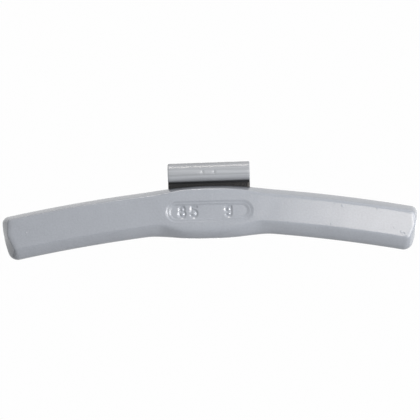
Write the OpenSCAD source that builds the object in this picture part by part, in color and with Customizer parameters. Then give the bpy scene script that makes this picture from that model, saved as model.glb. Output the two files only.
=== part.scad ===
// Clip-on wheel balance weight: a pressed steel bar that follows the curve of a wheel rim,
// with a folded spring clip held in a slot at its middle.
// The origin is the middle of the bar's back face. +X runs along the bar, +Y points from the
// bar to the rim, and +Z points outward from the wheel's centre.

/* [Bar] */
// Length of the bar along its curved centre line
bar_len = 116.2; // [90:0.1:150]
// Height of the bar across its back
bar_h = 12.5; // [11:0.1:16]
// Thickness of the bar from back to front
bar_t = 7.6; // [7:0.1:11]
// Bend radius of the middle stretch of the centre line
middle_r = 170; // [120:1:400]
// Length of the middle stretch of the centre line
middle_len = 36; // [20:1:60]
// Bend radius of the two arms
arm_r = 450; // [200:5:900]
// Radius of the bowed end faces
end_bow_r = 28; // [12:1:80]
// Corner radius of the ends on the outer edge
outer_corner_r = 1.6; // [0.8:0.1:3]
// Corner radius of the ends on the inner edge
inner_corner_r = 2.2; // [0.8:0.1:3]
// Corner radius of the front face
face_corner_r = 0.7; // [0.4:0.1:2]
// How steeply each end of the front face runs out to its point, as rise over run
point_slope = 0.28; // [0:0.02:0.4]
// Height of that point above the centre line
point_rise = 1.1; // [0:0.1:1.5]

/* [Flanks] */
// Depth of the straight sides, measured from the back
side_t = 3.6; // [3.4:0.1:4.6]
// How far the outer flank leans in from side to front
outer_flank = 1.4; // [0.6:0.1:2.4]
// How far the inner flank leans in from side to front
inner_flank = 3.0; // [1.5:0.1:3.6]
// How far the end flanks lean in from side to front
end_flank = 0.8; // [0.3:0.1:2]
// Roundness of the outer and end flanks, where 1 is a flat slope
outer_crown = 1.2; // [1:0.1:3]
// Roundness of the inner flank, where 1 is a flat slope
inner_crown = 1.8; // [1:0.1:3]
// Rounding where the flanks meet the front face
front_edge_r = 0.4; // [0.3:0.1:1]
// Rounding where the sides meet the back face
back_edge_r = 0.5; // [0.2:0.1:0.8]

/* [Boss] */
// Length of the swollen boss at the bar's sides
boss_len = 37; // [30:0.5:44]
// Length of the swollen boss at the front face
face_boss_len = 30; // [26:0.5:40]
// Swelling of the boss on the outer side, where the clip stands
boss_outer = 0.54; // [0:0.02:1.2]
// Swelling of the boss on the inner side
boss_inner = 1.7; // [0.5:0.1:2.5]
// Swelling of the boss's front face on the outer side
face_outer = 0.9; // [0:0.1:1.2]
// Swelling of the boss's front face on the inner side
face_inner = 2.3; // [1.2:0.1:3]
// Sharpness of the boss's shoulders at the bar's sides
boss_power = 2.5; // [2:0.1:4]
// Sharpness of the boss's shoulders at the front face
face_power = 3.5; // [2:0.1:5]
// Depth of the shallow valley across the front face at each end of the boss
valley_depth = 0.04; // [0.02:0.02:0.3]
// Length of that valley along the bar
valley_len = 7; // [4:0.5:12]

/* [Struck recess] */
// Length of the recess at the front face
recess_len = 24.5; // [20:0.1:28]
// Height of the recess at the front face
recess_h = 6.0; // [5.2:0.1:6.6]
// Width of the ledge between the mouth and the floor
ledge_w = 0.8; // [0.4:0.05:1.2]
// Depth of the ledge below the front face
ledge_depth = 0.45; // [0.2:0.05:0.7]
// Depth of the floor below the ledge
floor_depth = 0.45; // [0.2:0.05:0.7]
// Height of the recess above the bar's centre line
recess_rise = -0.35; // [-0.6:0.05:0.3]
// Width of the flat pad beyond each end of the recess
pad_rim = 0.75; // [0.3:0.05:2]

/* [Clip] */
// Width of the clip along the bar
clip_w = 22.9; // [16:0.1:28]
// Thickness of the clip's strip
clip_t = 1.0; // [0.7:0.05:1.2]
// Distance of the leg's middle from the bar's back
clip_inset = 2.7; // [2.3:0.1:3]
// Depth of the leg in its slot
leg_depth = 8.5; // [5:0.1:10]
// Inner radius of the tight bend above the slot
root_r = 0.6; // [0.4:0.05:1]
// Gap between the roll's underside and the boss
roll_gap = 1.2; // [0.8:0.05:2]
// Inner radius of the roll that takes the edge of the rim
roll_r = 1.7; // [1.5:0.05:2.5]
// Inner radius of the clip's back over the rim
back_r = 5.5; // [4:0.1:8]
// How far the clip's back turns down behind the rim
back_turn = 62; // [50:1:75]
// Straight length of the tail
tail_len = 1.6; // [0.5:0.1:4]
// Inner radius of the flared lip at the tail's end
lip_r = 1.0; // [0.5:0.1:2]
// How far the lip flares outward
lip_turn = 45; // [10:1:60]
// Clearance on each side between the leg and its slot
slot_gap = 0.03; // [0.02:0.01:0.1]

/* [Smoothness] */
// Length of one facet along the bar
facet_len = 2; // [1:0.1:4]
// Steps in each rounded edge and corner
round_steps = 5; // [3:1:8]

/* [Hidden] */
paint_grey = "#a7abb2";
clip_grey = "#b2b6ba";
deg = 180 / PI;
cut_over = 1;
weld_lap = 0.05;
fine_fn = 96;
half_len = bar_len / 2;
half_h = bar_h / 2;
half_middle = middle_len / 2;
flank_t = bar_t - side_t;
outer_r = max(outer_corner_r, inner_corner_r);
pad_half = recess_len / 2 + pad_rim;
pad_steps = 2 * ceil(pad_half / facet_len);
arm_steps = ceil((half_len - outer_r - pad_half) / facet_len);
along_steps = pad_steps + 2 * arm_steps;
boss_top = half_h + boss_outer;
shelf_z = boss_top + roll_gap + clip_t / 2;
leg_top_z = shelf_z - root_r - clip_t / 2;
leg_len = leg_top_z - boss_top + leg_depth;
leg_bottom_z = boss_top - leg_depth;

// Angle by which the bar has fallen away from level at the length s along its centre line
function fall(s) =
    let (a = abs(s))
    sign(s) * deg * (min(a, half_middle) / middle_r + max(a - half_middle, 0) / arm_r);

// Distance out and height of the centre line at the length s: two arcs that meet in a tangent
function centre_x(s) =
    let (m = fall(half_middle), a = min(abs(fall(s)), m), b = max(abs(fall(s)), m))
    sign(s) * (middle_r * sin(a) + arm_r * (sin(b) - sin(m)));
function centre_z(s) =
    let (m = fall(half_middle), a = min(abs(fall(s)), m), b = max(abs(fall(s)), m))
    -middle_r * (1 - cos(a)) - arm_r * (cos(m) - cos(b));

// Point at length s along the bar, n out from its centre line and d in front of its back
function on_bar(s, n, d) = [
    centre_x(s) + n * sin(fall(s)),
    -d,
    centre_z(s) + n * cos(fall(s))
];

// Share of a swelling at the length s: 1 in the middle, easing to 0 at the ends of its length
function swell(s, len, power) =
    let (t = min(abs(2 * s / len), 1))
    pow(1 - pow(t, power), 2);

// Height of the boss's swelling at the length s, which passes from the one at the bar's sides to
// the one at the front face by the share u of the flank
function boss(s, side, face, u) =
    (1 - u) * side * swell(s, boss_len, boss_power)
    + u * face * swell(s, face_boss_len, face_power);

// How far the front face sinks at the length s: two shallow valleys beside a flat pad
function sink(s) =
    let (t = min(max((abs(s) - pad_half) / valley_len, 0), 1))
    valley_depth * (1 - cos(360 * t)) / 2;

// Lengths at which the bar has a facet's edge, from one end's corner to the other. Those on the
// pad stay, and those on the arms spread to the reach of the outline.
function stations(reach) = concat(
    [for (i = [0 : arm_steps - 1]) -reach + (reach - pad_half) * i / arm_steps],
    [for (i = [0 : pad_steps]) pad_half * (2 * i / pad_steps - 1)],
    [for (i = [1 : arm_steps]) pad_half + (reach - pad_half) * i / arm_steps]
);

// How far an end falls back from the bar's full length at the height n: a shallow arc at the
// back that turns into a point at the front face, by the share u of the flank
function bow(n, u) =
    (1 - u) * (end_bow_r - sqrt(end_bow_r * end_bow_r - n * n))
    + u * point_slope * abs(n - point_rise);

// A corner's radius, which shrinks to the face's by the share u of the flank
function corner_r(back_r, u) = back_r + (face_corner_r - back_r) * u;

// Right end of an outline from the outer edge down to the inner edge
function right_end(s, outer, inner, u) =
    let (outer_r = corner_r(outer_corner_r, u), inner_r = corner_r(inner_corner_r, u))
    concat(
        [for (i = [0 : round_steps])
            let (a = 90 - 90 * i / round_steps, n = outer - outer_r * (1 - sin(a)))
            [s - bow(n, u) - outer_r * (1 - cos(a)), n]],
        [[s, point_rise * u]],
        [for (i = [0 : round_steps])
            let (a = 90 * i / round_steps, n = inner + inner_r * (1 - sin(a)))
            [s - bow(n, u) - inner_r * (1 - cos(a)), n]]
    );

// Closed outline of the bar as lengths and heights, clockwise as seen from the front, from the
// station after the upper left corner. The layer gives how far it is drawn in at its rounded
// edge and the share u of the flank.
function outline(u, e) =
    let (
        s_end = half_len - end_flank * pow(u, outer_crown) - e,
        outer = half_h - outer_flank * pow(u, outer_crown) - e,
        inner = -half_h + inner_flank * pow(u, inner_crown) + e,
        right = right_end(s_end, outer, inner, u),
        left = [for (i = [len(right) - 1 : -1 : 0]) [-right[i][0], right[i][1]]],
        upper = stations(right[0][0]),
        lower = stations(right[len(right) - 1][0])
    )
    concat(
        [for (i = [1 : along_steps - 1])
            [upper[i], outer + boss(upper[i], boss_outer, face_outer, u)]],
        right,
        [for (i = [along_steps - 1 : -1 : 1])
            [lower[i], inner - boss(lower[i], boss_inner, face_inner, u)]],
        left
    );

// Depths of the layers from back to front, each with the share of the flank that it has passed
// and the extra draw-in of its rounded edge
function layers() = concat(
    [for (i = [0 : 2])
        let (a = 45 * i)
        [back_edge_r * (1 - cos(a)), 0, back_edge_r * (1 - sin(a))]],
    [for (i = [0 : round_steps])
        let (d = side_t + (flank_t - front_edge_r) * i / round_steps)
        [d, (d - side_t) / flank_t, 0]],
    [for (i = [1 : round_steps])
        let (a = 90 * i / round_steps, d = bar_t - front_edge_r * (1 - sin(a)))
        [d, (d - side_t) / flank_t, front_edge_r * (1 - cos(a))]]
);

// One layer's outline placed on the curved bar
function layer_ring(layer) = [
    for (p = outline(layer[1], layer[2]))
        on_bar(p[0], p[1], layer[0] - sink(p[0]) * layer[1])
];

// Solid through a stack of outlines of the bar, from its back to its front. The front is closed
// by strips that run across the bar between facing stations, and by one face at each end.
module loft(rings) {
    count = len(rings[0]);
    last = len(rings) - 1;
    front = last * count;
    end_points = count / 2 - along_steps + 1;
    polyhedron(
        points = [for (ring = rings) each ring],
        faces = concat(
            [[for (j = [count - 1 : -1 : 0]) j]],
            [for (i = [0 : last - 1], j = [0 : count - 1])
                let (k = (j + 1) % count, a = i * count, b = a + count)
                each [[a + j, b + k, b + j], [a + j, a + k, b + k]]],
            [for (k = [0 : along_steps - 1])
                let (
                    up = front + (k + count - 1) % count,
                    next_up = front + k,
                    down = front + 2 * along_steps - 2 + end_points - k
                )
                each [[up, next_up, down - 1], [up, down - 1, down]]],
            [for (start = [along_steps - 1, 2 * along_steps - 2 + end_points])
                [for (j = [0 : end_points - 1]) front + start + j]]
        )
    );
}

// Bar with its rounded back edges, straight sides, sloping flanks and swollen boss
module bar() {
    loft([for (layer = layers()) layer_ring(layer)]);
}

// Oblong with round ends that is cut from the front face to the given depth
module oblong_cut(len, h, depth) {
    reach = len / 2 - h / 2;
    translate([0, -bar_t - cut_over, recess_rise])
        rotate([-90, 0, 0]) {
            translate([-reach, -h / 2, 0])
                cube([2 * reach, h, depth + cut_over]);
            for (side = [-1, 1])
                translate([side * reach, 0, 0])
                    cylinder(h = depth + cut_over, d = h, $fn = fine_fn);
        }
}

// Recess struck into the boss in two steps
module struck_recess() {
    oblong_cut(recess_len, recess_h, ledge_depth);
    oblong_cut(recess_len - 2 * ledge_w, recess_h - 2 * ledge_w, ledge_depth + floor_depth);
}

// Slot in the top of the boss for the clip's leg
module clip_slot() {
    slot_w = clip_w + 2 * slot_gap;
    slot_t = clip_t + 2 * slot_gap;
    translate([-slot_w / 2, -clip_inset - slot_t / 2, leg_bottom_z - slot_gap])
        cube([slot_w, slot_t, leg_depth + slot_gap + cut_over]);
}

module weight_body() {
    color(paint_grey)
        difference() {
            bar();
            struck_recess();
            clip_slot();
        }
}

// A straight run of strip upward from the origin, with its middle on the Z axis. It starts a
// hair lower, so that it is one piece with the bend before it.
module strip_run(length) {
    translate([-clip_w / 2, -clip_t / 2, -weld_lap])
        cube([clip_w, clip_t, length + weld_lap]);
    translate([0, 0, length])
        children();
}

// A bend in the strip: a positive turn leans it to the front, and a negative one to the rim
module strip_bend(inner_r, turn) {
    mid_r = inner_r + clip_t / 2;
    mirror([0, turn < 0 ? 1 : 0, 0])
        translate([-clip_w / 2, -mid_r, 0])
            rotate([90, 0, 90])
                rotate_extrude(angle = abs(turn), $fn = fine_fn)
                    translate([inner_r, 0])
                        square([clip_t, clip_w]);
    translate([0, -sign(turn) * mid_r, 0])
        rotate([turn, 0, 0])
            translate([0, sign(turn) * mid_r, 0])
                children();
}

// The folds in order, from the foot of the leg to the end of the lip
module spring_clip() {
    color(clip_grey)
        translate([0, -clip_inset, leg_bottom_z + weld_lap])
            strip_run(leg_len - weld_lap)
            strip_bend(root_r, 90)
            strip_bend(roll_r, -180)
            strip_bend(back_r, -back_turn)
            strip_run(tail_len)
            strip_bend(lip_r, lip_turn);
}

weight_body();
spring_clip();
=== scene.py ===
"""Clip-on wheel balance weight: a painted steel bar that follows the rim, with a spring clip.

The bar and the clip are surfaces worked out with numpy from the sizes in the panel. The stage
has a pale floor, soft lamps and a camera in front of the weight. Lengths are in metres.
"""

import math

import bpy
import numpy as np
from bpy.props import FloatProperty, FloatVectorProperty, PointerProperty
from bpy.types import Operator, Panel, PropertyGroup
from mathutils import Matrix, Vector


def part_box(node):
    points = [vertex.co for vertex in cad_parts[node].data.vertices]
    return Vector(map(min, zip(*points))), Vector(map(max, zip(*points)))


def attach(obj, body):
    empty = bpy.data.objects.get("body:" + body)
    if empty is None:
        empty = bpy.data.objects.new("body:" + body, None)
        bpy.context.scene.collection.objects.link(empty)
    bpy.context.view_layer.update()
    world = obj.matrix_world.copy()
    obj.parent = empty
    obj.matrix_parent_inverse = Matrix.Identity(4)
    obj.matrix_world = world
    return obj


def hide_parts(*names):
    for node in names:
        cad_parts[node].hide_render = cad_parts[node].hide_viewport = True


bl_info = {
    "name": "Wheel balance weight",
    "version": (1, 0, 0),
    "blender": (4, 5, 0),
    "location": "3D View > Sidebar > Balance weight",
    "description": "Builds a painted balance weight with its spring clip around the packed frame",
    "category": "Add Mesh",
}

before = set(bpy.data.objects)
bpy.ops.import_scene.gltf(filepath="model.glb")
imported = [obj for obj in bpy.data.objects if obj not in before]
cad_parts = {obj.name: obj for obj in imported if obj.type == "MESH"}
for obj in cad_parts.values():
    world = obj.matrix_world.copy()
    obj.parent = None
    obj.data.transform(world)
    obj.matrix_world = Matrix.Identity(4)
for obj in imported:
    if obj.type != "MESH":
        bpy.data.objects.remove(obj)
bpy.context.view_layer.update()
BODY_LOW, BODY_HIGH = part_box("weight_body")
CLIP_LOW, CLIP_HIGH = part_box("spring_clip")

MM = 0.001
FRAME_PIXELS = 420
SENSOR_WIDTH = 36
SHARP_ANGLE = math.radians(50)
FLOOR_POINTS = 96
NOISE_RANGE = (0.3, 0.7)
LINE_RANGE = (0.35, 0.65)
VIEW_RANGE = (0.01, 20)

# Fineness of the bar's mesh. A break is a share of the way from the outer to the inner edge.
FINE_HALF = 12.8 * MM
FINE_COLUMNS = 215
ARM_COLUMNS = 40
ARM_EASE = 1.6
CORNER_COLUMNS = 5
FINE_ROWS = 76
UPPER_ROWS = 8
LOWER_ROWS = 6
ROW_BREAKS = (0.2, 0.88)
END_BREAKS = (0.203, 0.722)
BACK_STEPS = 4
FLANK_STEPS = 10
FRONT_STEPS = 8
SLOT_TRIALS = 2000

# Fineness of the clip's mesh
CLIP_EDGE_STEPS = 4
CLIP_COLUMNS = 70
CLIP_COLUMN_EASE = 1.5
END_CLEARANCE = 1.1
BEND_STEP = math.radians(4.5)
RUN_STEP = 0.8 * MM

# Lamps: place, width, height and tint. The stage's settings give their brightness.
LAMPS = {
    "top_lamp": ((0.0, -0.1, 0.8), 0.9, 0.5, (1.0, 0.93, 0.85)),
    "back_lamp": ((0.0, 1.0, 0.0), 0.6, 0.2, (1.0, 1.0, 1.0)),
    "edge_lamp": ((-0.04, -0.2, 0.68), 0.18, 0.22, (1.0, 0.95, 0.9)),
    "front_panel": ((0.265, -1.0, 0.0), 0.4, 0.14, (1.0, 0.93, 0.86)),
    "near_lamp": ((0.19, -0.29, -0.02), 0.11, 0.2, (1.0, 0.99, 0.97)),
    "side_lamp": ((0.75, -0.45, 0.0), 0.11, 0.6, (1.0, 1.0, 1.0)),
    "left_lamp": ((-0.6, -0.6, 0.1), 0.3, 0.4, (1.0, 1.0, 1.0)),
}

# Specks of dust under the paint: place along X and Z, radius and height
NIBS = (
    (-51.1, -5.0, 0.42, 0.045),
    (-26.2, -4.6, 0.5, 0.02),
    (21.8, -3.85, 0.4, 0.05),
    (29.5, -5.8, 0.4, 0.04),
    (33.7, -4.7, 0.38, 0.05),
    (34.5, 0.95, 0.45, -0.03),
    (36.9, 0.25, 0.4, 0.035),
    (46.6, -0.8, 0.38, 0.04),
    (51.2, -6.3, 0.35, 0.03),
    (53.2, -7.5, 0.4, 0.07),
    (53.9, -8.0, 0.35, -0.03),
)


def length(name, description, millimetres):
    """A length for the panel, given in millimetres and kept in metres."""
    return FloatProperty(
        name=name,
        description=description,
        default=millimetres * MM,
        precision=5,
        subtype="DISTANCE",
    )


def number(name, description, default):
    """A plain number for the panel."""
    return FloatProperty(name=name, description=description, default=default, precision=3)


def angle(name, description, degrees):
    """An angle for the panel, given in degrees and kept in radians."""
    return FloatProperty(
        name=name, description=description, default=math.radians(degrees), subtype="ANGLE"
    )


def colour(name, description, default):
    """A colour for the panel, as linear red, green and blue."""
    return FloatVectorProperty(
        name=name, description=description, default=default, min=0, max=1, size=3, subtype="COLOR"
    )


class BarShape(PropertyGroup):
    """Sizes of the pressed steel bar"""

    bar_len: length("Length", "Length along the curved centre line", 116.2)
    bar_h: length("Height", "Height across the back", 12.5)
    bar_t: length("Thickness", "Thickness from back to front face", -BODY_LOW.y / MM - 0.06)
    skin: length("Skin", "How far the smooth outline lies inside the packed one", 0.025)
    middle_r: length("Middle bend", "Bend radius of the middle stretch", 170)
    middle_len: length("Middle stretch", "Length of the middle stretch", 36)
    arm_r: length("Arm bend", "Bend radius of the two arms", 450)
    end_bow_r: length("End bow", "Radius of the bowed end faces", 28)
    outer_corner_r: length("Outer corners", "Corner radius on the outer edge", 1.6)
    inner_corner_r: length("Inner corners", "Corner radius on the inner edge", 2.2)
    face_corner_r: length("Face corners", "Corner radius of the front face", 0.7)
    point_slope: number("Point slope", "How steeply the face's ends run out to a point", 0.28)
    point_rise: length("Point rise", "Height of that point above the centre line", 1.1)
    point_r: length("Point rounding", "Rounding of that point", 0.3)
    side_t: length("Side depth", "Depth of the straight sides", 3.6)
    outer_flank: length("Outer flank", "How far the outer flank leans in", 1.22)
    inner_flank: length("Inner flank", "How far the inner flank leans in", 3.15)
    end_flank: length("End flank", "How far the end flanks lean in", 1.0)
    outer_skew: length("Outer skew", "How much wider the right arm's outer flank is", 0.12)
    inner_skew: length("Inner skew", "How much wider the right arm's inner flank is", 0.25)
    end_skew: length("End skew", "How much wider the left end flank is", 0.45)
    skew_len: length("Skew reach", "Length over which the flanks reach that width", 30)
    outer_crown: number("Outer crown", "Roundness of the outer and end flanks", 1.2)
    inner_crown: number("Inner crown", "Roundness of the inner flank", 1.8)
    front_edge_r: length("Front edge", "Rounding where the flanks meet the face", 0.4)
    outer_edge_w: length("Outer edge", "Width of that rounding on the outer edge", 0.8)
    end_edge_w: length("End edge", "Width of that rounding at the two ends", 1.4)
    boss_edge_w: length("Boss edge", "Width of that rounding on the boss's inner side", 1.4)
    back_edge_r: length("Back edge", "Rounding where the sides meet the back", 0.5)
    boss_len: length("Boss length", "Length of the swollen boss at the sides", 37)
    face_boss_len: length("Face boss length", "Length of the boss at the front face", 30)
    boss_outer: length("Boss outward", "Swelling of the boss on the clip's side", 0.54)
    boss_inner: length("Boss inward", "Swelling of the boss on the inner side", 1.7)
    face_outer: length("Face outward", "Swelling of the face on the clip's side", 0.9)
    face_inner: length("Face inward", "Swelling of the face on the inner side", 2.6)
    boss_power: number("Boss shoulders", "Sharpness of the shoulders at the sides", 2.5)
    face_power: number("Face shoulders", "Sharpness of the shoulders at the front face", 3.5)
    valley_depth: length("Valley depth", "Depth of the valleys beside the boss's pad", 0.008)
    valley_len: length("Valley length", "Length of the valleys", 7)
    pad_rim: length("Pad rim", "Flat width beyond each end of the recess", 0.75)


class RecessShape(PropertyGroup):
    """Sizes of the struck recess and the figures in its floor"""

    recess_len: length("Length", "Length at the front face", 24.5)
    recess_h: length("Height", "Height at the front face", 6.0)
    ledge_w: length("Ledge", "Width of the ledge between mouth and floor", 0.8)
    end_ledge_w: length("End ledge", "Width of the ledge at its round ends", 0.99)
    ledge_depth: length("Ledge depth", "Depth of the ledge below the face", 0.22)
    floor_depth: length("Floor depth", "Depth of the floor below the ledge", 0.22)
    rise: length("Rise", "Height above the bar's centre line", -0.35)
    floor_shift: length("Floor shift", "How far the floor sits off the mouth's middle", -0.06)
    wall_w: length("Wall slope", "Width over which each wall slopes down", 0.41)
    worn_wall_w: length("Worn wall slope", "Width of the softer walls at the right end", 0.9)
    stroke_w: length("Stroke", "Half width of the bottom of a struck stroke", 0.04)
    stroke_slope: length("Stroke slope", "Width of a stroke's sloping side", 0.5)
    stroke_depth: length("Stroke depth", "Depth of the struck figures", 0.28)


class ClipShape(PropertyGroup):
    """Sizes of the folded spring clip and its slot"""

    clip_w: length("Width", "Width of the strip along the bar", (CLIP_HIGH.x - CLIP_LOW.x) / MM)
    clip_t: length("Thickness", "Thickness of the strip", 1.0)
    inset: length("Inset", "Distance of the leg's middle from the bar's back", 2.7)
    leg_foot: length("Foot height", "Height of the leg's foot in its slot", CLIP_LOW.z / MM)
    boss_top: length("Boss top", "Height of the boss's top edge", BODY_HIGH.z / MM)
    root_r: length("Root bend", "Inner radius of the bend above the slot", 0.6)
    roll_gap: length("Roll gap", "Gap between the roll and the boss", 1.2)
    roll_r: length("Roll", "Inner radius of the roll", 1.7)
    back_r: length("Back bend", "Inner radius of the clip's back", 5.5)
    back_turn: angle("Back turn", "How far the back turns down behind the rim", 62)
    tail_len: length("Tail", "Straight length of the tail", 1.6)
    lip_r: length("Lip bend", "Inner radius of the flared lip", 1.0)
    lip_turn: angle("Lip turn", "How far the lip flares outward", 45)
    slot_gap: length("Slot gap", "Clearance between the leg and its slot", 0.03)
    edge_r: length("Edge rounding", "Rounding of the strip's rolled edges", 0.22)
    punch_gap: length("Punch spacing", "Distance between the two punch marks", 3.2)
    punch_shift: length("Punch shift", "How far the marks lie off the middle", -0.1)
    punch_r: length("Punch radius", "Radius of a punch mark", 0.6)
    punch_depth: length("Punch depth", "Depth of a punch mark", 0.24)
    groove_share: number("Groove", "Depth of the groove between the marks, as a share", 0.3)
    # Painted shade under the roll: the turn over which it fades, how far past the root bend it
    # reaches, and how much of it is lost past the root.
    shade_fade: angle("Bare fade", "Turn of the roll over which the paint thins out", 40)
    shade_reach: number("Bare reach", "Fades past the root bend at which all is painted", 1.2)
    shade_mist: number("Mist", "Share of paint that still reaches the bare steel", 0.12)
    lean: angle("Lean", "How far the roll is bent out of level", 0.45)


class PaintLook(PropertyGroup):
    """Colours and surface of the grey paint"""

    body_grey: colour("Bar", "Paint on the bar", (0.364, 0.388, 0.434))
    clip_grey: colour("Clip", "Paint on the clip", (0.395, 0.413, 0.442))
    # Painted shade: a near-black colour for the clip under its roll, where shade falls, and its
    # roughness.
    painted_shade: colour("Bare steel", "Steel that the paint misses", (0.006, 0.006, 0.007))
    shade_roughness: number("Bare roughness", "Roughness of that steel", 0.75)
    roughness: number("Roughness", "Roughness of the paint", 0.38)
    roughness_spread: number("Roughness spread", "How far the roughness strays", 0.03)
    tone_spread: number("Tone spread", "How far the tone strays, as a share", 0.06)
    cloud_share: number("Cloud share", "Share of the slow changes in that", 0.4)
    cloud_size: length("Cloud size", "Spacing of the slow changes of tone", 6)
    speckle_size: length("Speckle size", "Spacing of the fine speckle of tone", 0.5)
    bar_gloss: number("Bar gloss", "Share of the smooth skin on the bar's paint", 0.9)
    bar_shine: number("Bar shine", "Strength of the bar's own reflection", 0.15)
    clip_gloss: number("Clip gloss", "Share of the smooth skin on the clip's paint", 0.4)
    clip_shine: number("Clip shine", "Strength of the clip's own reflection", 0.2)
    gloss_roughness: number("Gloss roughness", "Roughness of the smooth skin", 0.11)
    peel_size: length("Peel size", "Spacing of the paint's orange peel", 0.5)
    peel_depth: length("Peel depth", "Depth of the orange peel", 0.015)
    grain_size: length("Grain size", "Spacing of the paint's fine grain", 0.28)
    grain_depth: length("Grain depth", "Depth of the fine grain", 0.005)
    line_size: length("Line size", "Spacing of the lines along the clip", 0.7)
    line_stretch: number("Line stretch", "Change along a line, as a share of that across", 0.03)
    line_dark: number("Dark lines", "Tone of the darkest lines", 0.87)
    line_light: number("Light lines", "Tone of the lightest lines", 1.12)


class StageLook(PropertyGroup):
    """Camera, lamps and floor"""

    pixel: length("Pixel", "Width of one pixel at the bar's straight sides", 0.28)
    distance: length("Distance", "Distance of the camera from the bar's sides", 650)
    roll: angle("Roll", "How far the bar's right end is turned up in the view", 1.547)
    aim_x: length("Aim across", "Point of the bar in the middle of the view, across", 0.084)
    aim_z: length("Aim up", "Point of the bar in the middle of the view, up", -0.014)
    background: colour("Background", "Surroundings as the camera sees them", (0.99, 0.99, 0.99))
    sky: colour("Sky", "Tint of the soft light from all sides", (0.97, 0.985, 1.0))
    ambient: number("Ambient", "Strength of the soft light from all sides", 0.212)
    top_lamp: number("Top lamp", "Brightness of the wide lamp above", 0.5)
    back_lamp: number("Back lamp", "Brightness of the lamp behind the weight", 5.0)
    edge_lamp: number("Edge lamp", "Brightness of the narrow lamp that draws the upper edge", 11.0)
    front_panel: number("Front panel", "Brightness of the panel beside the camera", 6.5)
    near_lamp: number("Near lamp", "Brightness of the small lamp close by on the right", 7.4)
    side_lamp: number("Side lamp", "Brightness of the narrow lamp at the far right", 20.0)
    left_lamp: number("Left lamp", "Brightness of the soft lamp on the left", 0.3)
    floor_z: length("Floor", "Height of the floor", -400)
    floor_r: length("Floor radius", "Radius of the floor", 700)
    floor_pale: number("Floor shade", "Shade of the floor as the camera sees it", 0.85)
    floor_roughness: number("Floor roughness", "Roughness of the floor", 0.8)
    floor_bounce: number("Floor bounce", "Share of the light that the floor throws up", 0.55)


def fall(bar, s):
    """Angle by which the bar has fallen from level at length s: the part of s within the middle
    stretch over the middle's radius, plus the rest over the arms' radius."""
    half = bar.middle_len / 2
    reach = np.abs(s)
    turned = np.minimum(reach, half) / bar.middle_r + np.maximum(reach - half, 0) / bar.arm_r
    return np.sign(s) * turned


def on_bar(bar, s, n, d):
    """Points at length s, height n above the centre line and depth d in front of the back. The
    centre line is two arcs that meet in a tangent, and n is laid off square to it."""
    turned = fall(bar, s)
    meet = bar.middle_len / 2 / bar.middle_r
    a = np.minimum(np.abs(turned), meet)
    b = np.maximum(np.abs(turned), meet)
    out = bar.middle_r * np.sin(a) + bar.arm_r * (np.sin(b) - math.sin(meet))
    drop = bar.middle_r * (1 - np.cos(a)) + bar.arm_r * (math.cos(meet) - np.cos(b))
    x = np.sign(s) * out + n * np.sin(turned)
    z = -drop + n * np.cos(turned)
    return np.stack([x, np.broadcast_to(-d, x.shape), z], axis=-1)


def swell(s, long, power):
    """Share of a swelling at length s: one less the share of the way to its end raised to a
    power, and all of that squared."""
    return (1 - np.minimum(np.abs(2 * s / long), 1) ** power) ** 2


def boss(bar, s, side, face, share):
    """Height of the boss's swelling: the one at the bar's sides blends into the one at the front
    face by the share of the flank."""
    at_side = side * swell(s, bar.boss_len, bar.boss_power)
    at_face = face * swell(s, bar.face_boss_len, bar.face_power)
    return (1 - share) * at_side + share * at_face


def skew(bar, s):
    """Share of the flanks' skew at length s: a sine that runs from -1 to 1 over twice its reach."""
    return np.sin(np.clip(s / bar.skew_len, -1, 1) * math.pi / 2)


def sink(bar, recess, s):
    """Depth of the two valleys beside the boss's pad: one full cosine wave each."""
    start = recess.recess_len / 2 + bar.pad_rim
    share = np.clip((np.abs(s) - start) / bar.valley_len, 0, 1)
    return bar.valley_depth * (1 - np.cos(2 * math.pi * share)) / 2


def ease(t):
    """Smooth step from 0 to 1 with level ends: three t squared less two t cubed."""
    t = np.clip(t, 0, 1)
    return t * t * (3 - 2 * t)


def ramp(t):
    """Slope from 0 to 1 with softened ends: seven tenths of a straight one and three of a smooth
    step."""
    return 0.7 * np.clip(t, 0, 1) + 0.3 * ease(t)


def bar_layers(bar, clip):
    """Depth, share of the flank passed and extra draw-in of each layer of the bar's side: a
    quarter circle at the back, the straight side with the slot's two faces, the flank, and a
    quarter circle added to the flank at the front."""
    back = np.radians(np.linspace(0, 90, BACK_STEPS + 1))
    front = np.radians(np.linspace(0, 90, FRONT_STEPS + 1))[1:]
    half_slot = clip.clip_t / 2 + clip.slot_gap
    flank = np.linspace(bar.side_t, bar.bar_t - bar.front_edge_r, FLANK_STEPS + 1)
    depth = np.concatenate([
        bar.back_edge_r * (1 - np.cos(back)),
        [clip.inset - half_slot, clip.inset + half_slot],
        flank,
        bar.bar_t - bar.front_edge_r * (1 - np.sin(front)),
    ])
    draw_in = bar.skin + np.concatenate([
        bar.back_edge_r * (1 - np.sin(back)),
        np.zeros(2 + len(flank)),
        bar.front_edge_r * (1 - np.cos(front)),
    ])
    share = np.clip((depth - bar.side_t) / (bar.bar_t - bar.side_t), 0, 1)
    return depth, share, draw_in


def slot_end(bar, clip):
    """Length along the bar at which its outer side stands above the slot's end, by linear
    interpolation between many trial lengths."""
    trial = np.linspace(0, FINE_HALF, SLOT_TRIALS)
    height = bar.bar_h / 2 - bar.skin + boss(bar, trial, bar.boss_outer, 0, 0)
    side = on_bar(bar, trial, height, np.zeros(1))
    return float(np.interp(clip.clip_w / 2 + clip.slot_gap, side[:, 0], trial))


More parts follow.
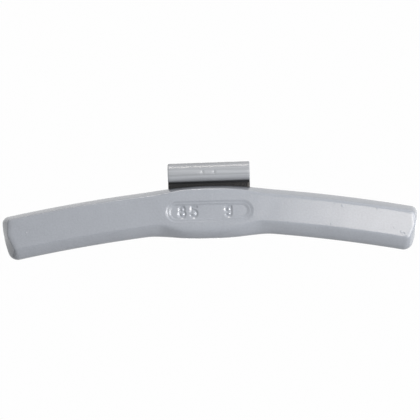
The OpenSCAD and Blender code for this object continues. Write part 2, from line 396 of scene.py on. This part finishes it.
def column_lengths(bar, clip, left, right):
    """Lengths of the columns between two corners: even ones over the recess, two of them moved
    to the slot's ends, and on the arms a share of the way out raised to a power."""
    middle = np.linspace(-FINE_HALF, FINE_HALF, FINE_COLUMNS)
    end = slot_end(bar, clip)
    for side in (-1, 1):
        middle[np.argmin(np.abs(middle - side * end))] = side * end
    share = (np.arange(1, ARM_COLUMNS + 1) / ARM_COLUMNS) ** ARM_EASE
    middle = np.broadcast_to(middle, (len(right), FINE_COLUMNS))
    return np.concatenate([
        (left + FINE_HALF) * share[::-1] - FINE_HALF,
        middle,
        (right - FINE_HALF) * share + FINE_HALF,
    ], axis=1)


def row_shares():
    """Share of the way from the outer to the inner edge at each row: close over the recess and
    wider near the edges."""
    low, high = ROW_BREAKS
    return np.concatenate([
        np.linspace(0, low, UPPER_ROWS, endpoint=False),
        np.linspace(low, high, FINE_ROWS, endpoint=False),
        np.linspace(high, 1, LOWER_ROWS),
    ])


def widened(bar, width, share, draw_in):
    """Draw-in of a layer where the rounding at the front face has the given width: what the
    rounding draws in is scaled by the width over the front edge's radius. The rounding at the
    back, where less than half of the flank is passed, keeps its own."""
    rounding = (draw_in - bar.skin) * (share > 0.5)
    return draw_in + (width / bar.front_edge_r - 1) * rounding


def flank_edges(bar, lean, share, draw_in):
    """Heights of the outer and inner edge: half the bar's height, less the flank's width times
    the share of the flank raised to its crown, less the draw-in. The lean from -1 to 1 adds
    the flanks' skew."""
    outer = bar.bar_h / 2 - (bar.outer_flank + bar.outer_skew * lean) * share**bar.outer_crown
    inner = bar.bar_h / 2 - (bar.inner_flank + bar.inner_skew * lean) * share**bar.inner_crown
    return outer - widened(bar, bar.outer_edge_w, share, draw_in), draw_in - inner


def end_reach(bar, hand, n, back_off, share, draw_in):
    """How far the outline reaches at height n at the left end (-1) or the right end (1): the
    bar's half length, less its end flank, less a bow that is a large circle at the back and turns
    into a rounded point at the face, less the given amount."""
    flank = (bar.end_flank - bar.end_skew * hand) * share**bar.outer_crown
    circle = bar.end_bow_r - np.sqrt(bar.end_bow_r**2 - n**2)
    point = bar.point_slope * (np.hypot(n - bar.point_rise, bar.point_r) - bar.point_r)
    draw_in = widened(bar, bar.end_edge_w, share, draw_in)
    return bar.bar_len / 2 - draw_in - flank - (1 - share) * circle - share * point - back_off


def corner(bar, hand, edge, up, r, a, share, draw_in):
    """Arc of a corner at the angles a from level: upper corners turn up and lower ones down."""
    n = edge - up * r * (1 - np.sin(a))
    return end_reach(bar, hand, n, r * (1 - np.cos(a)), share, draw_in), n


def bar_sides(bar, clip, share, draw_in):
    """Lengths and heights of the outline's four sides at each layer: outer and inner edge from
    left to right, left and right end from the outer to the inner edge. A corner is an arc whose
    half belongs to each of the two sides it joins."""
    share, draw_in = share[:, None], draw_in[:, None]
    radii = [r + (bar.face_corner_r - r) * share for r in (bar.outer_corner_r, bar.inner_corner_r)]

    def edge_side(which, up, swell_side, swell_face, boss_edge_w):
        """Outer or inner edge: the skewed flank's edge with the boss's swelling added to it, and
        the front rounding made wider by the share of the swelling, between two corner arcs."""
        arc = np.radians(np.linspace(90, 45, CORNER_COLUMNS + 1))[None, :]
        (left_s, left_n), (right_s, right_n) = (
            corner(
                bar, hand, flank_edges(bar, hand, share, draw_in)[which], up, radii[which], arc,
                share, draw_in,
            )
            for hand in (-1, 1)
        )
        s = column_lengths(bar, clip, -left_s[:, :1], right_s[:, :1])
        n = flank_edges(bar, skew(bar, s), share, draw_in)[which]
        softer = widened(bar, boss_edge_w, share, draw_in) - draw_in
        softer = softer * swell(s, bar.face_boss_len, bar.face_power)
        n = n + up * (boss(bar, s, swell_side, swell_face, share) - softer)
        s = np.concatenate([-left_s[:, :0:-1], s, right_s[:, 1:]], axis=1)
        return s, np.concatenate([left_n[:, :0:-1], n, right_n[:, 1:]], axis=1)

    def end_side(hand):
        """Left or right end: the bowed line between the lower halves of its two corner arcs."""
        rows = row_shares()[None, :]
        first, last = END_BREAKS
        edges = flank_edges(bar, hand, share, draw_in)
        a_upper = np.radians(45) * (1 - rows / first)
        a_lower = np.radians(45) * (rows - last) / (1 - last)
        upper = corner(bar, hand, edges[0], 1, radii[0], a_upper, share, draw_in)
        lower = corner(bar, hand, edges[1], -1, radii[1], a_lower, share, draw_in)
        from_n, to_n = edges[0] - radii[0], edges[1] + radii[1]
        line_n = from_n + (to_n - from_n) * (rows - first) / (last - first)
        line_s = end_reach(bar, hand, line_n, 0, share, draw_in)
        choice = [rows < first, rows > last]
        s = np.select(choice, [upper[0], lower[0]], line_s)
        return hand * s, np.select(choice, [upper[1], lower[1]], line_n)

    return {
        "outer": edge_side(0, 1, bar.boss_outer, bar.face_outer, bar.front_edge_r),
        "inner": edge_side(1, -1, bar.boss_inner, bar.face_inner, bar.boss_edge_w),
        "left": end_side(-1),
        "right": end_side(1),
    }


def joined_ring(sides, axis):
    """One coordinate of the four sides as a closed ring, clockwise as seen from the front."""
    outer, inner, left, right = (side[axis] for side in sides.values())
    return np.concatenate([outer, right[:, 1:-1], inner[:, ::-1], left[:, -2:0:-1]], axis=1)


def filled(sides, layer, axis):
    """One coordinate of a grid inside a layer's outline: the blend between the outer and inner
    edge, plus the blend between the two ends, less the blend of the four corners."""
    outer, inner, left, right = (side[axis][layer] for side in sides.values())
    reach = sides["outer"][0][layer]
    u = ((reach - reach[0]) / (reach[-1] - reach[0]))[None, :]
    v = row_shares()[:, None]
    across = (1 - v) * outer + v * inner
    along = (1 - u) * left[:, None] + u * right[:, None]
    outer_corners = (1 - u) * outer[0] + u * outer[-1]
    inner_corners = (1 - u) * inner[0] + u * inner[-1]
    return across + along - ((1 - v) * outer_corners + v * inner_corners)


def oblong(x, z, long, high):
    """Distance to an oblong with round ends, negative inside: the distance to its middle line
    less half its height."""
    reach = (long - high) / 2
    return np.hypot(np.maximum(np.abs(x) - reach, 0), z) - high / 2


def line_distance(x, z, x1, z1, x2, z2):
    """Distance to a straight stroke: to the nearest point of the line between its two ends."""
    dx, dz = x2 - x1, z2 - z1
    t = np.clip(((x - x1) * dx + (z - z1) * dz) / (dx * dx + dz * dz), 0, 1)
    return np.hypot(x - x1 - t * dx, z - z1 - t * dz)


def arc_distance(x, z, cx, cz, r, start, turn):
    """Distance to a curved stroke: within its sweep the distance to the circle, and beyond it
    the distance to the nearer end."""
    middle = math.radians(start + turn / 2)
    half = math.radians(abs(turn) / 2)
    a = np.arctan2(z - cz, x - cx) - middle
    a = np.abs((a + math.pi) % (2 * math.pi) - math.pi)
    ends = [
        np.hypot(x - cx - r * math.cos(middle + e * half), z - cz - r * math.sin(middle + e * half))
        for e in (-1, 1)
    ]
    return np.where(a <= half, np.abs(np.hypot(x - cx, z - cz) - r), np.minimum(*ends))


def figures_distance(x, z):
    """Distance in millimetres to the strokes of the struck figures: the mass in plain numbers on
    the left, and its unit on the right."""
    eight = [
        arc_distance(x, z, -7.7, 0.7, 0.6, 0, 360),
        arc_distance(x, z, -7.7, -0.62, 0.74, 0, 360),
    ]
    five = [
        line_distance(x, z, -4.95, 1.32, -3.75, 1.32),
        line_distance(x, z, -4.95, 1.32, -5.05, 0.2),
        arc_distance(x, z, -4.5, -0.5, 0.86, 132, -272),
    ]
    unit = [
        arc_distance(x, z, 5.2, 0.45, 0.68, 0, 360),
        line_distance(x, z, 5.88, 1.15, 5.88, -0.75),
        arc_distance(x, z, 5.22, -0.75, 0.66, 0, -150),
    ]
    return np.minimum.reduce(eight + five + unit)


def recess_depth(recess, x, z):
    """Depth of the struck recess: a ramp down inside each of two oblongs, and one more at the
    figures' strokes. The walls are worn wider towards the right end."""
    z = z - recess.rise
    mouth = oblong(x, z, recess.recess_len, recess.recess_h)
    floor_len = recess.recess_len - 2 * recess.end_ledge_w
    floor_h = recess.recess_h - 2 * recess.ledge_w
    floor = oblong(x - recess.floor_shift, z, floor_len, floor_h)
    stroke = figures_distance(x / MM, z / MM) * MM
    struck = ramp((recess.stroke_w + recess.stroke_slope - stroke) / recess.stroke_slope)
    worn = ease(2 * x / recess.recess_len)
    wall = recess.wall_w + (recess.worn_wall_w - recess.wall_w) * worn**2
    return (
        recess.ledge_depth * ramp(-mouth / wall)
        + recess.floor_depth * ramp(-floor / wall)
        + recess.stroke_depth * struck
    )


def quads(grid, forward):
    """Faces between neighbours of a grid of point numbers, turned either way round."""
    a, b, c, d = grid[:-1, :-1], grid[:-1, 1:], grid[1:, 1:], grid[1:, :-1]
    order = (a, b, c, d) if forward else (a, d, c, b)
    return np.stack(order, axis=-1).reshape(-1, 4)


def cap_numbers(ring, columns, rows, first_new):
    """Point numbers of a cap whose rim is a ring of the side and whose inside is new."""
    grid = np.empty((rows, columns), int)
    turn = columns + rows - 2
    grid[0] = ring[:columns]
    grid[1:-1, -1] = ring[columns:turn]
    grid[-1, ::-1] = ring[turn:turn + columns]
    grid[1:-1, 0] = ring[:turn + columns - 1:-1]
    grid[1:-1, 1:-1] = first_new + np.arange((rows - 2) * (columns - 2)).reshape(rows - 2, -1)
    return grid


def bar_surface(bar, recess, clip):
    """Points and faces of the bar: a band of rings from back to front, a cap on each end of it,
    and the clip's slot as a pocket in place of some of the band's faces."""
    depth, share, draw_in = bar_layers(bar, clip)
    sides = bar_sides(bar, clip, share, draw_in)
    s, n = joined_ring(sides, 0), joined_ring(sides, 1)
    band = on_bar(bar, s, n, depth[:, None] - sink(bar, recess, s) * share[:, None])
    layers, around = s.shape
    columns, rows = sides["outer"][0].shape[1], sides["left"][0].shape[1]

    back_s, back_n = filled(sides, 0, 0), filled(sides, 0, 1)
    back = on_bar(bar, back_s, back_n, np.zeros(1))
    face_s, face_n = filled(sides, -1, 0), filled(sides, -1, 1)
    face = on_bar(bar, face_s, face_n, bar.bar_t - sink(bar, recess, face_s))
    face[..., 1] += recess_depth(recess, face[..., 0], face[..., 2])

    inside = (rows - 2) * (columns - 2)
    numbers = np.arange(layers * around).reshape(layers, around)
    back_grid = cap_numbers(numbers[0], columns, rows, layers * around)
    face_grid = cap_numbers(numbers[-1], columns, rows, layers * around + inside)

    slot_layer = BACK_STEPS + 1
    end = slot_end(bar, clip)
    first = int(np.argmin(np.abs(sides["outer"][0][slot_layer] + end)))
    last = int(np.argmin(np.abs(sides["outer"][0][slot_layer] - end)))
    mouth = band[slot_layer:slot_layer + 2, first:last + 1]
    floor = mouth.copy()
    floor[..., 2] = clip.leg_foot - clip.slot_gap
    floor_first = layers * around + 2 * inside
    floor_grid = floor_first + np.arange(floor[..., 0].size).reshape(2, -1)
    mouth_grid = numbers[slot_layer:slot_layer + 2, first:last + 1]

    ring = np.concatenate([numbers, numbers[:, :1]], axis=1)
    side_faces = quads(ring, False).reshape(layers - 1, around, 4)
    kept = np.ones((layers - 1, around), bool)
    kept[slot_layer, first:last] = False
    ends = np.array([
        [floor_grid[1, 0], floor_grid[0, 0], mouth_grid[0, 0], mouth_grid[1, 0]],
        [mouth_grid[1, -1], mouth_grid[0, -1], floor_grid[0, -1], floor_grid[1, -1]],
    ])
    faces = np.concatenate([
        side_faces[kept],
        quads(back_grid, True),
        quads(face_grid, False),
        quads(np.stack([mouth_grid[0], floor_grid[0]]), False),
        quads(np.stack([mouth_grid[1], floor_grid[1]]), True),
        quads(floor_grid, False),
        ends,
    ])
    points = np.concatenate([
        part.reshape(-1, 3) for part in (band, back[1:-1, 1:-1], face[1:-1, 1:-1], floor)
    ])
    return points, faces.tolist()


def leg_length(clip):
    """Length of the clip's leg from its foot to the bend above the slot."""
    shelf = clip.boss_top + clip.roll_gap + clip.clip_t / 2
    return shelf - clip.root_r - clip.clip_t / 2 - clip.leg_foot


def clip_path(clip):
    """Place, heading and length of the strip's middle at each station. A run goes straight and a
    bend follows a circle, so that its place is found from the sines of its heading. Heading 0 is
    upward and a quarter turn is to the front."""
    half_t = clip.clip_t / 2
    folds = (
        (leg_length(clip), 0),
        (clip.root_r, math.pi / 2),
        (clip.roll_r, -math.pi),
        (clip.back_r, -clip.back_turn),
        (clip.tail_len, 0),
        (clip.lip_r, clip.lip_turn),
    )
    y, z = [np.array([-clip.inset])], [np.array([clip.leg_foot])]
    heading, gone = [np.zeros(1)], [np.zeros(1)]
    for size, turn in folds:
        y0, z0, a0, l0 = y[-1][-1], z[-1][-1], heading[-1][-1], gone[-1][-1]
        if turn:
            steps = max(2, round(abs(turn) / BEND_STEP))
            share = np.arange(1, steps + 1) / steps
            radius = math.copysign(size + half_t, turn)
            a = a0 + turn * share
            y.append(y0 + radius * (np.cos(a) - math.cos(a0)))
            z.append(z0 + radius * (np.sin(a) - math.sin(a0)))
            heading.append(a)
            gone.append(l0 + abs(radius * turn) * share)
        else:
            steps = max(1, round(size / RUN_STEP))
            share = np.arange(1, steps + 1) / steps
            y.append(y0 - math.sin(a0) * size * share)
            z.append(z0 + math.cos(a0) * size * share)
            heading.append(np.full(steps, a0))
            gone.append(l0 + size * share)
    return (np.concatenate(part) for part in (y, z, heading, gone))


def strip_section(clip):
    """Ring round the strip's section, as places across its width and its thickness: two wide
    sides whose columns lie closer near the middle, joined by rounded edges."""
    half_w, half_t, r = clip.clip_w / 2, clip.clip_t / 2, clip.edge_r
    t = np.linspace(-1, 1, CLIP_COLUMNS)
    across = (half_w - r) * np.sign(t) * np.abs(t) ** CLIP_COLUMN_EASE
    a = np.radians(np.linspace(0, 90, CLIP_EDGE_STEPS + 1))
    upper_x, upper_h = half_w - r + r * np.sin(a[1:]), half_t - r + r * np.cos(a[1:])
    edge_x = np.concatenate([upper_x, upper_x[::-1]])
    edge_h = np.concatenate([upper_h, -upper_h[::-1]])
    x = np.concatenate([across, edge_x, across[::-1], -edge_x[::-1]])
    flat_h = np.full(CLIP_COLUMNS, half_t)
    h = np.concatenate([flat_h, edge_h, -flat_h, -edge_h])
    return x, h


def clip_surface(clip):
    """Points, faces and shares of painted shade of the clip: its section carried along its path,
    drawn in by a quarter circle at both ends, and above the leg lowered to the left by its lean.
    The punch marks are two eased dents in the roll's outer side with an eased groove between
    them. Each end is closed by strips across the section and one face at each rolled edge. The
    share of painted shade is 1 on the leg and eases to 0 over the fade on the roll."""
    y, z, heading, gone = clip_path(clip)
    x, h = strip_section(clip)
    half_w, half_t, r = clip.clip_w / 2, clip.clip_t / 2, clip.edge_r

    turn = np.radians(np.linspace(0, 90, CLIP_EDGE_STEPS + 1))
    tip_lead, tip_inset = r * (1 - np.sin(turn)), r * (1 - np.cos(turn))
    foot_lead, foot_inset = tip_lead[::-1], tip_inset[::-1]
    foot_a, tip_a = np.full(len(turn), heading[0]), np.full(len(turn), heading[-1])
    clear = END_CLEARANCE * r
    kept = (gone > clear) & (gone < gone[-1] - clear)
    y_foot, y_tip = y[0] - np.sin(foot_a) * foot_lead, y[-1] + np.sin(tip_a) * tip_lead
    z_foot, z_tip = z[0] + np.cos(foot_a) * foot_lead, z[-1] - np.cos(tip_a) * tip_lead
    y = np.concatenate([y_foot, y[kept], y_tip])
    z = np.concatenate([z_foot, z[kept], z_tip])
    gone = np.concatenate([foot_lead, gone[kept], gone[-1] - tip_lead])
    heading = np.concatenate([foot_a, heading[kept], tip_a])
    inset = np.concatenate([foot_inset, np.zeros(int(kept.sum())), tip_inset])[:, None]

    across = x * (1 - inset / half_w)
    through = h * (1 - inset / half_t)
    root = leg_length(clip) + (clip.root_r + half_t) * math.pi / 2
    front = root + (clip.roll_r + half_t) * math.pi / 2
    along = gone[:, None] - front
    beside = across - clip.punch_shift
    near = np.hypot(np.abs(beside) - clip.punch_gap / 2, along)
    groove = oblong(beside, along, clip.punch_gap, clip.punch_r)
    dent = np.maximum(
        clip.punch_depth * ease(1 - near / clip.punch_r),
        clip.punch_depth * clip.groove_share * ease(-groove / clip.punch_r * 2),
    )
    through = through + np.where(h < 0, dent, 0)
    level = ease((gone[:, None] - leg_length(clip)) / (root - leg_length(clip)))
    points = np.stack([
        across,
        y[:, None] + through * np.cos(heading)[:, None],
        z[:, None] + through * np.sin(heading)[:, None]
        + level * (across - half_w) * math.tan(clip.lean),
    ], axis=-1)

    stations, around = across.shape
    numbers = np.arange(stations * around).reshape(stations, around)
    ring = np.concatenate([numbers, numbers[:, :1]], axis=1)
    faces = quads(ring, False).tolist()
    opposite = around // 2
    for tip, forward in ((numbers[0], True), (numbers[-1], False)):
        upper = tip[:CLIP_COLUMNS]
        lower = tip[opposite:opposite + CLIP_COLUMNS][::-1]
        faces += quads(np.stack([upper, lower]), forward).tolist()
        right = tip[CLIP_COLUMNS - 1:opposite + 1]
        left = np.concatenate([tip[opposite + CLIP_COLUMNS - 1:], tip[:1]])
        step = 1 if forward else -1
        faces += [right[::step].tolist(), left[::step].tolist()]

    # Painted shade: the shadowed share is 1 on the leg and eases to 0 over the fade on the roll, a
    # little less past the root bend.
    fade = (clip.roll_r + half_t) * clip.shade_fade
    shadowed = ease((root + fade * clip.shade_reach - gone) / fade)
    shadowed = shadowed * (1 - clip.shade_mist * level[:, 0])
    return points.reshape(-1, 3), faces, np.repeat(shadowed, around)


def add_object(name, data):
    """Makes an object of a mesh, a lamp or a camera and links it to the scene."""
    made = bpy.data.objects.new(name, data)
    bpy.context.scene.collection.objects.link(made)
    return made


def add_piece(name, points, faces, node, material):
    """Makes a mesh object of the points and faces, which stands for a packed node, rides on the
    body and takes the given material."""
    mesh = bpy.data.meshes.new(name)
    mesh.from_pydata(points.tolist(), [], faces)
    if mesh.validate():
        raise RuntimeError(f"the faces of {name} don't make a sound mesh")
    mesh.shade_smooth()
    mesh.set_sharp_from_angle(angle=SHARP_ANGLE)
    mesh.materials.append(material)
    piece = add_object(name, mesh)
    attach(piece, "root")
    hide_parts(node)
    return piece


def fill(tree, node, inputs):
    """Gives each named or numbered socket of a node its value, or a link from an output."""
    for key, value in inputs.items():
        if isinstance(value, bpy.types.NodeSocket):
            tree.links.new(value, node.inputs[key])
        else:
            node.inputs[key].default_value = value


def add_node(tree, kind, inputs, **settings):
    """Adds a shader node with the given settings and fills its sockets."""
    made = tree.nodes.new(kind)
    for key, value in settings.items():
        setattr(made, key, value)
    fill(tree, made, inputs)
    return made


def shaded(tint, share):
    """A colour made darker or lighter by a share."""
    return [share * value for value in tint]


def mixed_colour(tree, share, first, second):
    """Blend of two colours or colour outputs by a share, as an output."""
    inputs = {"Factor": share, "A": first, "B": second}
    for key, value in inputs.items():
        if not isinstance(value, bpy.types.NodeSocket):
            inputs[key] = (*value, 1)
    return add_node(tree, "ShaderNodeMix", inputs, data_type="RGBA").outputs["Result"]


def stretched(tree, place, scale):
    """A place scaled on each axis, as an output."""
    made = add_node(tree, "ShaderNodeMapping", {"Vector": place, "Scale": scale})
    return made.outputs["Vector"]


def noise(tree, place, size, detail):
    """Noise with the given spacing at a place in millimetres, as an output from 0 to 1."""
    inputs = {"Vector": place, "Scale": MM / size, "Detail": detail}
    return add_node(tree, "ShaderNodeTexNoise", inputs).outputs["Fac"]


def remapped(tree, value, low, high, to_low, to_high, curve="LINEAR"):
    """A value moved from one range to another and held within it, as an output."""
    inputs = {
        "Value": value, "From Min": low, "From Max": high, "To Min": to_low, "To Max": to_high,
    }
    made = add_node(tree, "ShaderNodeMapRange", inputs, interpolation_type=curve)
    return made.outputs["Result"]


def combined(tree, operation, first, second):
    """Sum, maximum or the like of two values, as an output."""
    made = add_node(tree, "ShaderNodeMath", {0: first, 1: second}, operation=operation)
    return made.outputs[0]


def bumped(tree, height, distance, normal=None):
    """Normal of a surface raised by a height output times a distance, on top of another normal."""
    inputs = {"Strength": 1.0, "Distance": distance, "Height": height}
    if normal:
        inputs["Normal"] = normal
    return add_node(tree, "ShaderNodeBump", inputs).outputs["Normal"]


def paint_material(name, look, gloss, shine):
    """Paint with a soft gloss: orange peel and a fine grain in its bump, and a slow noise that
    changes its roughness. Returns the material and the outputs to build on: the place in
    millimetres, the slow noise, the roughness and the normal."""
    material = bpy.data.materials.new(name)
    material.use_nodes = True
    tree = material.node_tree
    fill(tree, tree.nodes["Principled BSDF"], {
        "Specular IOR Level": shine,
        "Coat Weight": gloss,
        "Coat Roughness": look.gloss_roughness,
    })
    place = add_node(tree, "ShaderNodeTexCoord", {}).outputs["Object"]
    place = stretched(tree, place, (1 / MM,) * 3)
    cloudy = noise(tree, place, look.cloud_size, detail=3)
    least, most = look.roughness - look.roughness_spread, look.roughness + look.roughness_spread
    rough = remapped(tree, cloudy, *NOISE_RANGE, least, most)
    peel = noise(tree, place, look.peel_size, detail=1.5)
    grain = noise(tree, place, look.grain_size, detail=2)
    normal = bumped(tree, grain, look.grain_depth, bumped(tree, peel, look.peel_depth))
    return material, place, cloudy, rough, normal


def finish_paint(tree, tone, rough, normal):
    """Links a paint's tone, roughness and normal, the normal also to its smooth skin."""
    fill(tree, tree.nodes["Principled BSDF"], {
        "Base Color": tone, "Roughness": rough, "Normal": normal, "Coat Normal": normal,
    })


def body_paint(look):
    """The bar's paint, with slow changes and a fine speckle of its tone, and with small specks of
    dust caught under it: each raises or lowers it by a smooth step of the distance to its place
    in the plane of the face."""
    material, place, cloudy, rough, normal = paint_material(
        "body_paint", look, look.bar_gloss, look.bar_shine
    )
    tree = material.node_tree
    speckled = noise(tree, place, look.speckle_size, detail=1)
    slow = remapped(tree, cloudy, *NOISE_RANGE, 0, look.cloud_share)
    quick = remapped(tree, speckled, *NOISE_RANGE, 0, 1 - look.cloud_share)
    changes = combined(tree, "ADD", slow, quick)
    grey, spread = look.body_grey, look.tone_spread
    tone = mixed_colour(tree, changes, shaded(grey, 1 - spread), shaded(grey, 1 + spread))
    flat = stretched(tree, place, (1, 0, 1))
    raised = None
    for x, z, radius, height in NIBS:
        away = add_node(
            tree, "ShaderNodeVectorMath", {0: flat, 1: (x, 0, z)}, operation="DISTANCE"
        ).outputs["Value"]
        speck = remapped(tree, away, radius, 0, 0, height, "SMOOTHSTEP")
        raised = combined(tree, "ADD", raised, speck) if raised else speck
    finish_paint(tree, tone, rough, bumped(tree, raised, MM, normal))
    return material


def clip_paint(look):
    """The clip's paint: fine lines along the rolled strip show through it, and under the roll it
    turns to a near-black painted shade, rougher there, where shade falls in the crevice."""
    material, place, _, rough, normal = paint_material(
        "clip_paint", look, look.clip_gloss, look.clip_shine
    )
    tree = material.node_tree
    along = stretched(tree, place, (look.line_stretch, 1, 1))
    lines = noise(tree, along, look.line_size, detail=2)
    lined = mixed_colour(
        tree,
        remapped(tree, lines, *LINE_RANGE, 0, 1),
        shaded(look.clip_grey, look.line_dark),
        shaded(look.clip_grey, look.line_light),
    )
    # Painted shade: the shadowed share turns the paint near black and rougher under the roll.
    shadowed = add_node(tree, "ShaderNodeAttribute", {}, attribute_name="shadowed").outputs["Fac"]
    dull = remapped(tree, shadowed, 0, 1, 0, look.shade_roughness)
    finish_paint(
        tree,
        mixed_colour(tree, shadowed, lined, look.painted_shade),
        combined(tree, "MAXIMUM", rough, dull),
        bumped(tree, lines, look.peel_depth, normal),
    )
    return material


class BALANCE_OT_make_bar(Operator):
    """Make the painted bar with its boss, struck recess, struck figures and slot"""

    bl_idname = "balance.make_bar"
    bl_label = "Make bar"

    def execute(self, context):
        scene = context.scene
        points, faces = bar_surface(scene.balance_bar, scene.balance_recess, scene.balance_clip)
        paint = body_paint(scene.balance_paint)
        add_piece("painted_bar", points, faces, "weight_body", paint)
        return {"FINISHED"}


class BALANCE_OT_make_clip(Operator):
    """Make the folded spring clip with its rolled edges and punch marks"""

    bl_idname = "balance.make_clip"
    bl_label = "Make clip"

    def execute(self, context):
        scene = context.scene
        points, faces, shadowed = clip_surface(scene.balance_clip)
        paint = clip_paint(scene.balance_paint)
        piece = add_piece("folded_clip", points, faces, "spring_clip", paint)
        # The share of painted shade under the roll, for the clip's paint.
        shares = piece.data.attributes.new("shadowed", "FLOAT", "POINT")
        shares.data.foreach_set("value", shadowed.astype(np.float32))
        return {"FINISHED"}


def add_lamp(name, place, width, height, brightness, tint):
    """Adds a soft rectangular lamp that faces the weight. Its power is its brightness times pi
    times its area, so that its face has that brightness."""
    data = bpy.data.lights.new(name, "AREA")
    data.shape = "RECTANGLE"
    data.size, data.size_y = width, height
    data.energy = brightness * math.pi * width * height
    data.color = tint
    lamp = add_object(name, data)
    lamp.location = place
    lamp.rotation_euler = (-Vector(place)).to_track_quat("-Z", "Y").to_euler()
    lamp.visible_camera = False


def seen_directly(tree):
    """Output that is 1 for a surface seen by the camera, in gloss or through glass, else 0."""
    rays = add_node(tree, "ShaderNodeLightPath", {}).outputs
    seen = combined(tree, "ADD", rays["Is Camera Ray"], rays["Is Glossy Ray"])
    return combined(tree, "ADD", seen, rays["Is Transmission Ray"])


def make_world(look):
    """A white background for the camera, gloss and glass, and a softer light for the rest."""
    world = bpy.data.worlds.new("studio")
    bpy.context.scene.world = world
    world.use_nodes = True
    tree = world.node_tree
    soft = tree.nodes["Background"]
    fill(tree, soft, {"Color": (*look.sky, 1), "Strength": look.ambient})
    white = add_node(tree, "ShaderNodeBackground", {"Color": (*look.background, 1), "Strength": 1})
    mix = add_node(tree, "ShaderNodeMixShader", {
        0: seen_directly(tree), 1: soft.outputs[0], 2: white.outputs[0],
    })
    fill(tree, tree.nodes["World Output"], {"Surface": mix.outputs[0]})


def make_floor(look):
    """A pale round floor well below the weight: a circle of points. It throws less light up than
    it shows to the camera."""
    turn = np.linspace(0, 2 * math.pi, FLOOR_POINTS, endpoint=False)
    x, y = look.floor_r * np.cos(turn), look.floor_r * np.sin(turn)
    points = np.stack([x, y, np.full(FLOOR_POINTS, look.floor_z)], axis=-1)
    mesh = bpy.data.meshes.new("floor")
    mesh.from_pydata(points.tolist(), [], [list(range(FLOOR_POINTS))])
    material = bpy.data.materials.new("pale_floor")
    material.use_nodes = True
    tree = material.node_tree
    bounced, pale = (look.floor_bounce,) * 3, (look.floor_pale,) * 3
    fill(tree, tree.nodes["Principled BSDF"], {
        "Base Color": mixed_colour(tree, seen_directly(tree), bounced, pale),
        "Roughness": look.floor_roughness,
    })
    mesh.materials.append(material)
    floor = add_object("floor", mesh)


def make_camera(bar, look):
    """A camera straight in front of the bar, turned about its own line of sight by the roll. Its
    lens gives one pixel the set width at the plane of the bar's straight sides."""
    data = bpy.data.cameras.new("camera")
    data.sensor_width = SENSOR_WIDTH
    data.lens = data.sensor_width * look.distance / (FRAME_PIXELS * look.pixel)
    data.clip_start, data.clip_end = VIEW_RANGE
    camera = add_object("camera", data)
    camera.location = (look.aim_x, -bar.side_t - look.distance, look.aim_z)
    upright = Matrix.Rotation(math.radians(90), 4, "X")
    camera.rotation_euler = (Matrix.Rotation(look.roll, 4, "Y") @ upright).to_euler()
    bpy.context.scene.camera = camera


class BALANCE_OT_make_stage(Operator):
    """Make the camera, the soft lamps, the white surroundings and the pale floor"""

    bl_idname = "balance.make_stage"
    bl_label = "Make stage"

    def execute(self, context):
        scene = context.scene
        look = scene.balance_stage
        scene.view_settings.view_transform = "Standard"
        make_camera(scene.balance_bar, look)
        make_world(look)
        make_floor(look)
        for name, (place, width, height, tint) in LAMPS.items():
            add_lamp(name, place, width, height, getattr(look, name), tint)
        return {"FINISHED"}


class BALANCE_PT_panel(Panel):
    """Sizes and looks of the balance weight, with a button for each piece"""

    bl_label = "Balance weight"
    bl_idname = "BALANCE_PT_panel"
    bl_space_type = "VIEW_3D"
    bl_region_type = "UI"
    bl_category = "Balance weight"

    def draw(self, context):
        layout = self.layout
        for name, kind in GROUPS.items():
            box = layout.box()
            box.label(text=kind.__doc__)
            group = getattr(context.scene, name)
            for key in kind.__annotations__:
                box.prop(group, key)
        for operator in OPERATORS:
            layout.operator(operator.bl_idname)


GROUPS = {
    "balance_bar": BarShape,
    "balance_recess": RecessShape,
    "balance_clip": ClipShape,
    "balance_paint": PaintLook,
    "balance_stage": StageLook,
}
OPERATORS = (BALANCE_OT_make_bar, BALANCE_OT_make_clip, BALANCE_OT_make_stage)
CLASSES = (*GROUPS.values(), *OPERATORS, BALANCE_PT_panel)


def register():
    """Registers the classes and hangs each group of sizes on the scene."""
    for kind in CLASSES:
        bpy.utils.register_class(kind)
    for name, kind in GROUPS.items():
        setattr(bpy.types.Scene, name, PointerProperty(type=kind))


def unregister():
    """Takes the groups off the scene and unregisters the classes."""
    for name in GROUPS:
        delattr(bpy.types.Scene, name)
    for kind in reversed(CLASSES):
        bpy.utils.unregister_class(kind)


def main():
    """Builds the weight and the stage."""
    register()
    bpy.ops.balance.make_stage()
    bpy.ops.balance.make_bar()
    bpy.ops.balance.make_clip()


if __name__ == "__main__":
    main()
